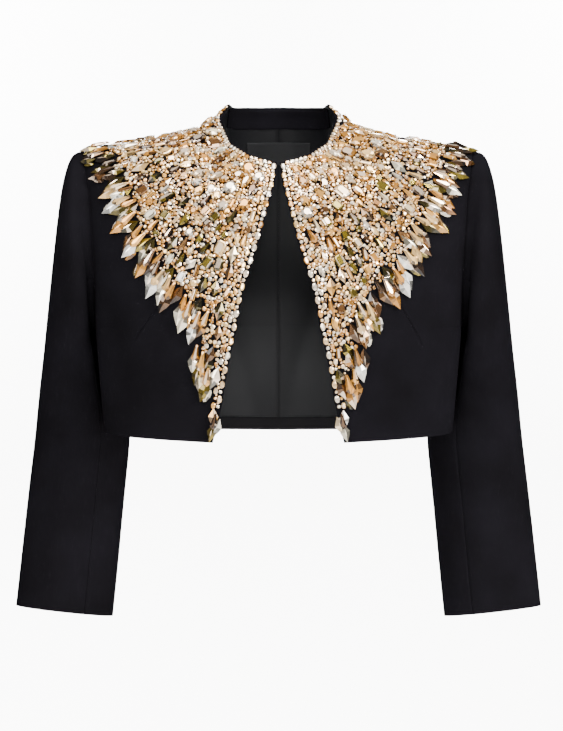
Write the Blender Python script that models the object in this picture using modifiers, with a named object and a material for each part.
"""Cropped evening jacket without a collar, hollow as when it is worn, with a crystal yoke.

The jacket hangs from the wearer's shoulders. It is cut as two fronts, a back, and two-piece sleeves set
into padded shoulders. Inside the back show the lining, the turned-up hem, the neck facing and a label.
X runs to the wearer's left, -Y to the front and +Z up. The origin is midway between the shoulders.
"""

import math
from collections import namedtuple

import bpy
import numpy as np
from mathutils import Vector
from mathutils.bvhtree import BVHTree

OBJECT_NAME = "cropped_jacket"

# Cloth and seams
SHELL_WALL = 0.0018  # wool crepe with its interlining
LINING_WALL = 0.0010
SEAM_GAP = 0.0003
ARMHOLE_GAP = 0.0006  # the straight edges of the curved seam come closer than this

# Lengths of the jacket
HEM_SIDE_Z = -0.3205
HEM_FRONT_Z = -0.3345  # the fronts swing open, and their hem drops towards the front edges
HEM_BACK_Z = -0.3233
YOKE_ROW_Z = -0.0450  # front edge and centre back, where the shoulder part starts
FRONT_NECK_SHARE = 0.48  # the part of a panel's width that ends at the neckline
BACK_NECK_SHARE = 0.30

# Armhole, an oval in side view
ARM_MID_Y = -0.0030
ARM_MID_Z = -0.1045
ARM_HALF_DEPTH = 0.0660
ARM_HALF_HEIGHT = 0.1025
ARM_TOP_X = 0.2225
SHOULDER_PART_ANGLE = math.radians(60)  # on the oval, where the shoulder part starts

# Shoulder seam, from the side of the neck to the shoulder point
NECK_SIDE = (0.0595, 0.0100, 0.0510)
SHOULDER_POINT = (ARM_TOP_X, ARM_MID_Y, ARM_MID_Z + ARM_HALF_HEIGHT)
BACK_NECK_Y = 0.0620
BACK_NECK_Z = 0.0535

# Two-piece sleeve, by angle round the arm: 0 outside, 90 front, 180 inside, 270 back
SLEEVE_FRONT_SEAM = math.radians(116)
SLEEVE_BACK_SEAM = math.radians(245)
SLEEVE_RADIUS = 0.055
SLEEVE_CLEARANCE = 0.0035
CROWN_REACH = 0.025
CROWN_FALL = 0.190

# Inside the back
HEM_TURN_UP = 0.0150
FACING_ROW = 4  # the shoulder part's rows and columns that the facing and the label cover
LABEL_ROWS = (1, 3)
LABEL_COLUMNS = 3
LABEL_WALL = 0.0006

# Crystal yoke
YOKE_BASE = 0.0008  # the net's height over the front
YOKE_LOW = 0.0014  # small stones on the net
YOKE_HIGH = 0.0046  # the largest stones
YOKE_NOTCH = 0.014  # how much deeper the crystals hang on every other ray
YOKE_PANELS = 14  # the panel's columns under the crystals, with two rays on each
LIFT_TESTS = 5  # places along a face's side where its height over the panel is tested
LIFT_ROUNDS = 8
LIFT_LIMIT = 0.0030

Ring = namedtuple("Ring", "z half_width widest_y front_depth back_depth front_round back_round")
BODY_RINGS = [
    Ring(-0.340, 0.1970, -0.034, 0.079, 0.124, 0.80, 1.00),
    Ring(-0.270, 0.2030, -0.038, 0.084, 0.134, 0.80, 0.92),
    Ring(-0.207, 0.2080, -0.040, 0.087, 0.145, 0.80, 0.78),
    Ring(-0.160, 0.2110, -0.040, 0.086, 0.152, 0.80, 0.63),
    Ring(-0.120, 0.2158, -0.040, 0.083, 0.152, 0.80, 0.58),
    Ring(-0.080, 0.2223, -0.036, 0.076, 0.142, 0.80, 0.56),
    Ring(-0.045, 0.2275, -0.030, 0.062, 0.125, 0.80, 0.55),
    Ring(-0.018, 0.2310, -0.026, 0.048, 0.112, 0.80, 0.55),
]

# Half the opening between the fronts, which meet at the neck and part towards the hem
Opening = namedtuple("Opening", "z half_gap")
FRONT_OPENING = [
    Opening(-0.335, 0.0738),
    Opening(-0.290, 0.0630),
    Opening(-0.250, 0.0563),
    Opening(-0.207, 0.0465),
    Opening(-0.160, 0.0380),
    Opening(-0.120, 0.0245),
    Opening(-0.080, 0.0140),
    Opening(-0.045, 0.0050),
    Opening(-0.018, 0.0015),
]

# Front neckline, from the neck point to the side of the neck
NeckPoint = namedtuple("NeckPoint", "share x y z")
FRONT_NECKLINE = [
    NeckPoint(0.00, 0.0015, -0.0740, -0.0180),
    NeckPoint(0.18, 0.0260, -0.0680, -0.0115),
    NeckPoint(0.35, 0.0440, -0.0550, -0.0010),
    NeckPoint(0.50, 0.0545, -0.0400, 0.0070),
    NeckPoint(0.64, 0.0605, -0.0240, 0.0185),
    NeckPoint(0.80, 0.0642, -0.0080, 0.0330),
    NeckPoint(0.90, 0.0630, 0.0020, 0.0425),
    NeckPoint(1.00, NECK_SIDE[0], NECK_SIDE[1], NECK_SIDE[2]),
]

# Sleeve sections, from below the underarm to the cuff
Section = namedtuple("Section", "share z_outer z_inner x_outer x_inner mid_y half_depth")
SLEEVE_SECTIONS = [
    Section(0.00, -0.2320, -0.2320, 0.2706, 0.1830, 0.014, 0.066),
    Section(0.15, -0.2750, -0.2750, 0.2767, 0.1725, 0.033, 0.060),
    Section(0.34, -0.3347, -0.3347, 0.2837, 0.1730, 0.049, 0.052),
    Section(0.50, -0.3805, -0.3830, 0.2892, 0.1775, 0.050, 0.048),
    Section(0.66, -0.4260, -0.4310, 0.2942, 0.1820, 0.046, 0.044),
    Section(0.82, -0.4720, -0.4800, 0.2989, 0.1863, 0.040, 0.040),
    Section(1.00, -0.5254, -0.5377, 0.3042, 0.1919, 0.032, 0.035),
]

# Lower outline of the crystals, seen from the front, from the front edge to the shoulder
Outline = namedtuple("Outline", "x z")
YOKE_OUTLINE = [
    Outline(0.0735, -0.326),
    Outline(0.0880, -0.312),
    Outline(0.0980, -0.268),
    Outline(0.1200, -0.212),
    Outline(0.1500, -0.172),
    Outline(0.1820, -0.120),
    Outline(0.1950, -0.080),
    Outline(0.1990, -0.048),
    Outline(0.2080, -0.022),
    Outline(0.2140, -0.004),
]

# Columns and rows of the panels. They crowd together at a seam, so that both its walls turn the same way
FRONT_NECK_COLUMNS = 6
BACK_NECK_COLUMNS = 4
SHOULDER_COLUMNS = [0.0, 0.13, 0.26, 0.39, 0.51, 0.63, 0.74, 0.86, 0.93, 0.979, 0.9988]
HEM_ROWS = 5  # from the hem to the underarm
ARMHOLE_ROW_ANGLES = [180, 163, 146, 126, 104, 82, 60]
SHOULDER_ROWS = [0.17, 0.34, 0.47, 0.60, 0.76, 0.88, 0.975, 0.9985]
CROWN_ROWS = [0.0, 0.07, 0.17, 0.28, 0.40, 0.54, 0.70, 0.86]
TUBE_ROWS = [0.0, 0.10, 0.21, 0.33, 0.46, 0.60, 0.74, 0.88, 1.0]
UPPER_COLUMNS = 18
UNDER_COLUMNS = 11
MIRRORED = np.array((-1.0, 1.0, 1.0))


def smooth_line(places, values):
    """A smooth function through a table's column, which never runs past the table's values."""
    places = np.array(places, float)
    values = np.array(values, float)
    steps = np.diff(places)
    slopes = np.diff(values) / steps
    tangents = np.zeros(len(values))
    tangents[0] = slopes[0]
    tangents[-1] = slopes[-1]
    for i in range(1, len(values) - 1):
        if slopes[i - 1] * slopes[i] > 0:
            before = 2 * steps[i] + steps[i - 1]
            after = steps[i] + 2 * steps[i - 1]
            tangents[i] = (before + after) / (before / slopes[i - 1] + after / slopes[i])

    def value(place):
        place = min(max(place, places[0]), places[-1])
        i = min(int(np.searchsorted(places, place, side="right")) - 1, len(steps) - 1)
        step = steps[i]
        t = (place - places[i]) / step
        start = (2 * t**3 - 3 * t**2 + 1) * values[i] + (t**3 - 2 * t**2 + t) * step * tangents[i]
        end = (3 * t**2 - 2 * t**3) * values[i + 1] + (t**3 - t**2) * step * tangents[i + 1]
        return float(start + end)

    return value


def table_lines(table):
    """One smooth function for each column of a table, over its first column."""
    places = [row[0] for row in table]
    return [smooth_line(places, [row[i] for row in table]) for i in range(1, len(table[0]))]


RING_LINES = table_lines(BODY_RINGS)
OPENING_LINES = table_lines(FRONT_OPENING)
NECKLINE_LINES = table_lines(FRONT_NECKLINE)
SLEEVE_LINES = table_lines(SLEEVE_SECTIONS)
YOKE_LOWER_EDGE = table_lines(YOKE_OUTLINE)[0]


def ring_at(z):
    return Ring(z, *[line(z) for line in RING_LINES])


def body_point(z, angle):
    """A point of the body's outline at a height: angle 0 in front, 90 at the side, 180 at the back."""
    ring = ring_at(z)
    front = math.cos(angle) >= 0
    depth = ring.front_depth if front else -ring.back_depth
    power = ring.front_round if front else ring.back_round
    x = ring.half_width * math.sin(angle) ** power
    y = ring.widest_y - depth * abs(math.cos(angle)) ** power
    return np.array((x, y, z))


def angle_at_x(z, x):
    """The angle in front where the outline is x wide."""
    ring = ring_at(z)
    return math.asin((x / ring.half_width) ** (1 / ring.front_round))


def angle_at_y(z, y):
    """The angle at the side where the outline is at y."""
    ring = ring_at(z)
    front = y < ring.widest_y
    depth = ring.front_depth if front else ring.back_depth
    power = ring.front_round if front else ring.back_round
    angle = math.acos(min(1.0, abs(y - ring.widest_y) / depth) ** (1 / power))
    return angle if front else math.pi - angle


def body_half_width(z, y):
    """Half the body's width at a height and a depth."""
    angle = angle_at_y(z, y)
    return float(body_point(z, angle)[0])


def armhole_point(angle):
    """A point of the armhole's seam: angle 0 at the shoulder, 90 in front, 180 at the underarm."""
    y = ARM_MID_Y - ARM_HALF_DEPTH * math.sin(angle)
    z = ARM_MID_Z + ARM_HALF_HEIGHT * math.cos(angle)
    if math.cos(angle) <= math.cos(SHOULDER_PART_ANGLE):
        return np.array((body_half_width(z, y), y, z))
    side = 1 if math.sin(angle) >= 0 else -1
    start = armhole_point(side * SHOULDER_PART_ANGLE)
    rise = (z - start[2]) / (SHOULDER_POINT[2] - start[2])
    return np.array((start[0] + (ARM_TOP_X - start[0]) * rise, y, z))


def even_row(z_in, z_out, angle_in, angle_out, columns):
    """Points along one row of a panel, where each column is a share of the row's length."""
    steps = np.linspace(0.0, 1.0, 90)
    line = np.array([
        body_point(z_in + (z_out - z_in) * s, angle_in + (angle_out - angle_in) * s) for s in steps
    ])
    lengths = np.concatenate(([0.0], np.cumsum(np.linalg.norm(np.diff(line, axis=0), axis=1))))
    shares = lengths / lengths[-1]
    return np.array([[np.interp(u, shares, line[:, axis]) for axis in range(3)] for u in columns])


def shoulder_seam_point(share):
    """The shoulder seam, which rises steeply at the neck and runs nearly level over the pad."""
    neck = np.array(NECK_SIDE)
    outer = np.array(SHOULDER_POINT)
    point = neck + (outer - neck) * share
    rise = (1 - share**4) * (0.22 + 0.78 * math.exp(-5.4 * share))
    point[2] = outer[2] + (neck[2] - outer[2]) * rise
    return point


def top_edge_point(u, front):
    """The upper edge of a panel: its neckline, and then the shoulder seam."""
    neck_share = FRONT_NECK_SHARE if front else BACK_NECK_SHARE
    if u > neck_share:
        return shoulder_seam_point((u - neck_share) / (1 - neck_share))
    share = u / neck_share
    if front:
        return np.array([line(share) for line in NECKLINE_LINES])
    turn = share * math.pi / 2
    x = NECK_SIDE[0] * math.sin(turn)
    y = NECK_SIDE[1] + (BACK_NECK_Y - NECK_SIDE[1]) * math.cos(turn)
    return np.array((x, y, BACK_NECK_Z + (NECK_SIDE[2] - BACK_NECK_Z) * share))


def shoulder_point(start, u, share, front):
    """A point between the row where the shoulder part starts and the upper edge.

    Over the shoulder the cloth turns level at the seam. At the neck it stands up straight.
    """
    end = top_edge_point(u, front)
    neck_share = FRONT_NECK_SHARE if front else BACK_NECK_SHARE
    over = min(1.0, max(0.0, ((u - neck_share) / (1 - neck_share) + 0.1) / 0.4))
    over = over * over * (3 - 2 * over)
    turn = share * math.pi / 2
    back = share + (1 - math.cos(turn) - share) * over
    up = share + (math.sin(turn) - share) * over
    x = start[0] + (end[0] - start[0]) * share
    return np.array((x, start[1] + (end[1] - start[1]) * back, start[2] + (end[2] - start[2]) * up))


def inner_edge(z_side, front):
    """The height of a row at the front edge or centre back, from its height at the side."""
    top_side = armhole_point(SHOULDER_PART_ANGLE)[2]
    low = HEM_FRONT_Z if front else HEM_BACK_Z
    return float(np.interp(z_side, (HEM_SIDE_Z, top_side), (low, YOKE_ROW_Z)))


def panel_rows(front, columns):
    """All points of half a front or back, from the hem to the upper edge, and the rows' shares."""
    side = 1 if front else -1
    underarm = ARM_MID_Z - ARM_HALF_HEIGHT
    levels = [(z, ARM_MID_Y) for z in np.linspace(HEM_SIDE_Z, underarm, HEM_ROWS + 1)[:-1]]
    for degrees in ARMHOLE_ROW_ANGLES:
        point = armhole_point(side * math.radians(degrees))
        levels.append((point[2], point[1]))
    rows = []
    for z_out, y_out in levels:
        z_in = inner_edge(z_out, front)
        angle_in = angle_at_x(z_in, OPENING_LINES[0](z_in)) if front else math.pi
        rows.append(even_row(z_in, z_out, angle_in, angle_at_y(z_out, y_out), columns))
    start = rows[-1]
    for share in SHOULDER_ROWS:
        row = [shoulder_point(p, u, share, front) for p, u in zip(start, columns, strict=True)]
        edge = armhole_point(side * SHOULDER_PART_ANGLE * (1 - share))
        off = edge - shoulder_point(start[-1], 1.0, share, front)
        rows.append(np.array([p + off * u**8 for p, u in zip(row, columns, strict=True)]))
    return np.array(rows)


def panel_columns(neck_share, neck_columns):
    """Shares of a panel's width. Those under the shoulder seam are spaced alike in front and back."""
    neck = [neck_share * column / neck_columns for column in range(neck_columns)]
    return neck + [neck_share + (1 - neck_share) * share for share in SHOULDER_COLUMNS]


def grid_normals(points):
    """Outward directions at the points of a grid whose rows rise and whose columns run outwards."""
    along = np.gradient(points, axis=1)
    up = np.gradient(points, axis=0)
    normals = np.cross(along, up)
    return normals / np.linalg.norm(normals, axis=2, keepdims=True)


def material(name, rgb, roughness, metallic):
    made = bpy.data.materials.new(name)
    made.use_nodes = True
    shader = made.node_tree.nodes["Principled BSDF"]
    shader.inputs["Base Color"].default_value = (*rgb, 1.0)
    shader.inputs["Roughness"].default_value = roughness
    shader.inputs["Metallic"].default_value = metallic
    made.diffuse_color = (*rgb, 1.0)
    return made


def grid_faces(rows, columns, outward):
    """The triangles of a grid of points, wound so that they face outwards.

    Every cell is cut along the same diagonal, so that pieces which lie on each other nest.
    """
    faces = []
    for r in range(rows - 1):
        for c in range(columns - 1):
            a = r * columns + c
            far = a + columns + 1
            for face in ((a, a + 1, far), (a, far, far - 1)):
                faces.append(face if outward else face[::-1])
    return faces


def rim_faces(rows, columns, open_side):
    """The triangles that join the outer and inner points of a wall round its edge.

    Each is cut from the outer point with the lower number, so that the walls at a seam run parallel.
    """
    loop = [(0, c) for c in range(columns - 1)]
    loop += [(r, columns - 1) for r in range(rows)]
    loop += [(rows - 1, c) for c in range(columns - 2, -1, -1)]
    if not open_side:
        loop += [(r, 0) for r in range(rows - 2, -1, -1)]
    edge = [r * columns + c for r, c in loop]
    inner = rows * columns
    faces = []
    for a, b in zip(edge, edge[1:], strict=False):
        if a < b:
            faces += [(b, a, b + inner), (a, a + inner, b + inner)]
        else:
            faces += [(b, a, a + inner), (b, a + inner, b + inner)]
    return faces


def cloth(collection, name, outer, inner, finish, side, mirror=False):
    """A piece of cloth: a wall between a grid of outer points and one of inner points.

    The side is 1 where columns and rows turn the wall's outer face outwards, and -1 where they don't.
    A mirrored piece is a half, open at the middle of the body.
    """
    rows, columns = outer.shape[:2]
    faces = grid_faces(rows, columns, side > 0)
    count = rows * columns
    faces += [tuple(i + count for i in reversed(face)) for face in faces]
    faces += [face if side > 0 else face[::-1] for face in rim_faces(rows, columns, mirror)]
    mesh = bpy.data.meshes.new(name)
    mesh.from_pydata([*outer.reshape(-1, 3).tolist(), *inner.reshape(-1, 3).tolist()], [], faces)
    mesh.materials.append(finish)
    mesh.shade_smooth()
    mesh.set_sharp_from_angle(angle=math.radians(40))
    piece = bpy.data.objects.new(name, mesh)
    collection.objects.link(piece)
    if mirror:
        half = piece.modifiers.new("other half", "MIRROR")
        half.use_axis = (True, False, False)
        half.merge_threshold = 0.00005


def share_normals(first, second):
    """Turns the walls of two pieces the same way along the seam where they meet."""
    both = first + second
    both /= np.linalg.norm(both, axis=-1, keepdims=True)
    first[...] = both
    second[...] = both


def add_body(collection, finish):
    """The two fronts, and the back, which is cut in one piece on the fold of the cloth."""
    front = panel_rows(True, panel_columns(FRONT_NECK_SHARE, FRONT_NECK_COLUMNS))
    back = panel_rows(False, panel_columns(BACK_NECK_SHARE, BACK_NECK_COLUMNS))
    front_out = grid_normals(front)
    back_out = -grid_normals(back)
    back_out[:, 0, 0] = 0
    share_normals(front_out[:HEM_ROWS + 1, -1], back_out[:HEM_ROWS + 1, -1])
    seam = slice(-len(SHOULDER_COLUMNS), None)
    share_normals(front_out[-1, seam], back_out[-1, seam])
    inner = front - front_out * SHELL_WALL
    cloth(collection, "front_left", front, inner, finish, 1)
    cloth(collection, "front_right", front * MIRRORED, inner * MIRRORED, finish, -1)
    cloth(collection, "back", back, back - back_out * SHELL_WALL, finish, -1, mirror=True)
    return front, back, back_out


def sleeve_point(angle, length):
    """A point of the left sleeve: length 0 at the armhole, 1 below the underarm, 2 at the cuff."""
    if length >= 1:
        return sleeve_section_point(angle, length - 1)
    start = armhole_point(angle) + (ARMHOLE_GAP, 0, 0)
    end = sleeve_section_point(angle, 0)
    outside = (1 + math.cos(angle)) / 2
    out = np.array((1.0, -0.45 * math.sin(angle), 0.04 * math.cos(angle)))
    first = start + out * (0.005 + (CROWN_REACH - 0.005) * outside)
    up = np.array((-0.13 * outside, -0.40 - 0.10 * math.sin(angle), 1.0))
    second = end + up * (0.012 + (CROWN_FALL - 0.012) * outside**1.3)
    t = length
    point = (1 - t)**3 * start + 3 * (1 - t)**2 * t * first
    point = point + 3 * (1 - t) * t**2 * second + t**3 * end
    return keep_clear(point, min(1.0, 6 * t))


def sleeve_section_point(angle, share):
    """A point of the sleeve's tube, between the underarm and the cuff."""
    part = Section(share, *[line(share) for line in SLEEVE_LINES])
    outside = (1 + math.cos(angle)) / 2
    x = part.x_inner + (part.x_outer - part.x_inner) * outside
    y = part.mid_y - part.half_depth * math.sin(angle)
    z = part.z_inner + (part.z_outer - part.z_inner) * outside
    return keep_clear(np.array((x, y, z)), 1.0)


def body_limit(z, y):
    """How far out the body reaches beside the sleeve: its outline, and at the shoulder the armhole's edge."""
    start = armhole_point(SHOULDER_PART_ANGLE if y < ARM_MID_Y else -SHOULDER_PART_ANGLE)
    if z <= start[2]:
        return body_half_width(z, y)
    rise = min(1.0, (z - start[2]) / (SHOULDER_POINT[2] - start[2]))
    return float(start[0] + (ARM_TOP_X - start[0]) * rise)


def keep_clear(point, ramp):
    """Moves a point of the sleeve outwards where the body would touch it."""
    x, y, z = point
    if z < HEM_BACK_Z - 0.012:
        return point
    fade = min(1.0, (z - HEM_BACK_Z + 0.012) / 0.012)
    limit = body_limit(z, y) * (0.85 + 0.15 * fade) + SEAM_GAP + SLEEVE_CLEARANCE * ramp
    over = x - limit
    soft = 0.006 * ramp * fade
    return np.array((limit + 0.5 * (over + math.sqrt(over * over + soft * soft)), y, z))


def add_sleeves(collection, finish):
    """Both sleeves, each of an upper piece and a narrower under piece."""
    lengths = [*CROWN_ROWS, *[1 + share for share in TUBE_ROWS]]
    gap = SEAM_GAP / 2 / SLEEVE_RADIUS
    upper_angles = np.linspace(SLEEVE_BACK_SEAM - 2 * math.pi + gap, SLEEVE_FRONT_SEAM - gap, UPPER_COLUMNS)
    under_angles = np.linspace(SLEEVE_FRONT_SEAM + gap, SLEEVE_BACK_SEAM - gap, UNDER_COLUMNS)
    upper = np.array([[sleeve_point(a, s) for a in upper_angles] for s in lengths])
    under = np.array([[sleeve_point(a, s) for a in under_angles] for s in lengths])
    upper_out = grid_normals(upper)
    under_out = grid_normals(under)
    share_normals(upper_out[:, -1], under_out[:, 0])
    share_normals(upper_out[:, 0], under_out[:, -1])
    for name, points, out in (("upper", upper, upper_out), ("under", under, under_out)):
        inner = points - out * SHELL_WALL
        cloth(collection, f"sleeve_{name}_left", points, inner, finish, 1)
        cloth(collection, f"sleeve_{name}_right", points * MIRRORED, inner * MIRRORED, finish, -1)


def add_inside(collection, back, out, lining_finish, cloth_finish, label_finish):
    """What shows inside the back: the lining, the turned-up hem, the neck facing and the label."""
    lining = back - out * (SHELL_WALL + SEAM_GAP)
    rise = lining[1] - lining[0]
    turn_up_top = lining[0] + rise * (HEM_TURN_UP / float(np.linalg.norm(rise[0])))
    turn_up = np.array([lining[0], turn_up_top - (0, 0, SEAM_GAP)])[:, :-1]
    inner = turn_up - out[:2, :-1] * LINING_WALL
    cloth(collection, "back_hem_turn_up", turn_up, inner, cloth_finish, -1, mirror=True)

    half = np.concatenate(([turn_up_top], lining[1:]))[:, :-1]
    inner = half - out[:, :-1] * LINING_WALL
    half[:, 0, 0] = SEAM_GAP / 2
    inner[:, 0, 0] = SEAM_GAP / 2
    cloth(collection, "back_lining_left", half, inner, lining_finish, -1)
    cloth(collection, "back_lining_right", half * MIRRORED, inner * MIRRORED, lining_finish, 1)

    on_lining = lining - out * (LINING_WALL + SEAM_GAP)
    first_row = HEM_ROWS + len(ARMHOLE_ROW_ANGLES)
    facing = (slice(first_row + FACING_ROW, None), slice(0, BACK_NECK_COLUMNS + 1))
    inner = on_lining[facing] - out[facing] * LINING_WALL
    cloth(collection, "back_neck_facing", on_lining[facing], inner, cloth_finish, -1, mirror=True)
    label = (slice(first_row + LABEL_ROWS[0], first_row + LABEL_ROWS[1] + 1), slice(0, LABEL_COLUMNS))
    inner = on_lining[label] - out[label] * LABEL_WALL
    cloth(collection, "label", on_lining[label], inner, label_finish, -1, mirror=True)


class Surface:
    """A panel's grid of points, read between its columns and rows."""

    def __init__(self, points):
        self.points = points
        self.normals = grid_normals(points)
        rows, columns = points.shape[:2]
        self.top = rows - 1
        faces = grid_faces(rows, columns, True)
        self.tree = BVHTree.FromPolygons(points.reshape(-1, 3).tolist(), faces)

    def read(self, grid, column, row):
        """A value at a place on the triangle that it lies in."""
        c = min(int(column), grid.shape[1] - 2)
        r = min(int(row), grid.shape[0] - 2)
        across = column - c
        up = row - r
        near = grid[r, c] * (1 - max(across, up)) + grid[r + 1, c + 1] * min(across, up)
        if across > up:
            return near + grid[r, c + 1] * (across - up)
        return near + grid[r + 1, c] * (up - across)

    def height(self, point):
        """How far a point lies outside the panel."""
        nearest, normal = self.tree.find_nearest(Vector(point))[:2]
        return (Vector(point) - nearest).dot(normal)


def lift_clear(points, out, faces, surface):
    """Lifts points until the flat faces between them also clear the rounded panel."""
    steps = range(LIFT_TESTS + 1)
    shares = [(i, j, LIFT_TESTS - i - j) for i in steps for j in steps if i + j <= LIFT_TESTS]
    lift = np.full(len(points), YOKE_BASE)
    for _ in range(LIFT_ROUNDS):
        lifted = points + out * lift[:, None]
        more = np.zeros(len(points))
        for face in faces:
            corners = lifted[list(face)]
            heights = [surface.height(np.dot(s, corners) / LIFT_TESTS) for s in shares]
            lowest = int(np.argmin(heights))
            weights = np.array(shares[lowest]) / LIFT_TESTS
            needed = weights * max(0.0, YOKE_BASE - heights[lowest]) / np.dot(weights, weights)
            for i, rise in zip(face, needed, strict=True):
                more[i] = max(more[i], rise)
        lift = np.minimum(lift + more, LIFT_LIMIT)
    return points + out * lift[:, None]


def yoke_cells(surface):
    """The grid places of the yoke's faces: rays that run down from the neckline to jagged tips."""
    faces = []
    top = surface.top - 1
    for ray in range(2 * YOKE_PANELS):
        row = top
        notch = YOKE_NOTCH * (ray % 2)
        while row > 0:
            x, _, z = surface.read(surface.points, ray / 2 + 0.25, row - 1)
            if z < YOKE_LOWER_EDGE(x) + notch:
                break
            faces.append(((ray, row - 1), (ray + 1, row - 1), (ray + 1, row)))
            faces.append(((ray, row - 1), (ray + 1, row), (ray, row)))
            row -= 1
        if row > 0 and ray % 2 == 0:
            faces.append(((ray, row), (ray, row - 1), (ray + 1, row)))
    return faces


def add_yokes(collection, front, finish):
    """The crystal yokes, each a net with large stones raised on its outer side."""
    surface = Surface(front)
    cells = yoke_cells(surface)
    places = sorted({place for cell in cells for place in cell})
    number = {place: i for i, place in enumerate(places)}
    faces = [tuple(number[place] for place in cell) for cell in cells]
    points = np.array([surface.read(surface.points, ray / 2, row) for ray, row in places])
    out = np.array([surface.read(surface.normals, ray / 2, row) for ray, row in places])
    out /= np.linalg.norm(out, axis=1, keepdims=True)
    base = lift_clear(points, out, faces, surface)
    stone = np.array([0.55 * (ray % 2) + 0.45 * ((row + ray // 2) % 2) for ray, row in places])
    raised = base + out * (YOKE_LOW + (YOKE_HIGH - YOKE_LOW) * stone)[:, None]
    edges = {}
    for face in faces:
        for a, b in zip(face, face[1:] + face[:1], strict=True):
            edges[a, b] = edges.get((a, b), 0) + 1
    border = [(a, b) for a, b in edges if (b, a) not in edges]
    count = len(points)
    solid = faces + [tuple(i + count for i in reversed(face)) for face in faces]
    solid += [(b, a, a + count, b + count) for a, b in border]
    for name, sign in (("crystal_yoke_left", 1), ("crystal_yoke_right", -1)):
        mesh = bpy.data.meshes.new(name)
        corners = np.concatenate((raised, base)) * (sign, 1, 1)
        mesh.from_pydata(corners.tolist(), [], [face[::sign] for face in solid])
        mesh.materials.append(finish)
        collection.objects.link(bpy.data.objects.new(name, mesh))


def main():
    for old in list(bpy.data.objects):
        bpy.data.objects.remove(old, do_unlink=True)
    collection = bpy.data.collections.new(OBJECT_NAME)
    bpy.context.scene.collection.children.link(collection)
    crepe = material("black wool crepe", (0.012, 0.012, 0.015), 0.75, 0.0)
    satin = material("black satin lining", (0.010, 0.010, 0.013), 0.45, 0.0)
    woven = material("woven label", (0.015, 0.015, 0.018), 0.65, 0.0)
    crystal = material("cut crystals on net", (0.72, 0.55, 0.38), 0.15, 0.6)
    front, back, back_out = add_body(collection, crepe)
    add_sleeves(collection, crepe)
    add_inside(collection, back, back_out, satin, crepe, woven)
    add_yokes(collection, front, crystal)


main()
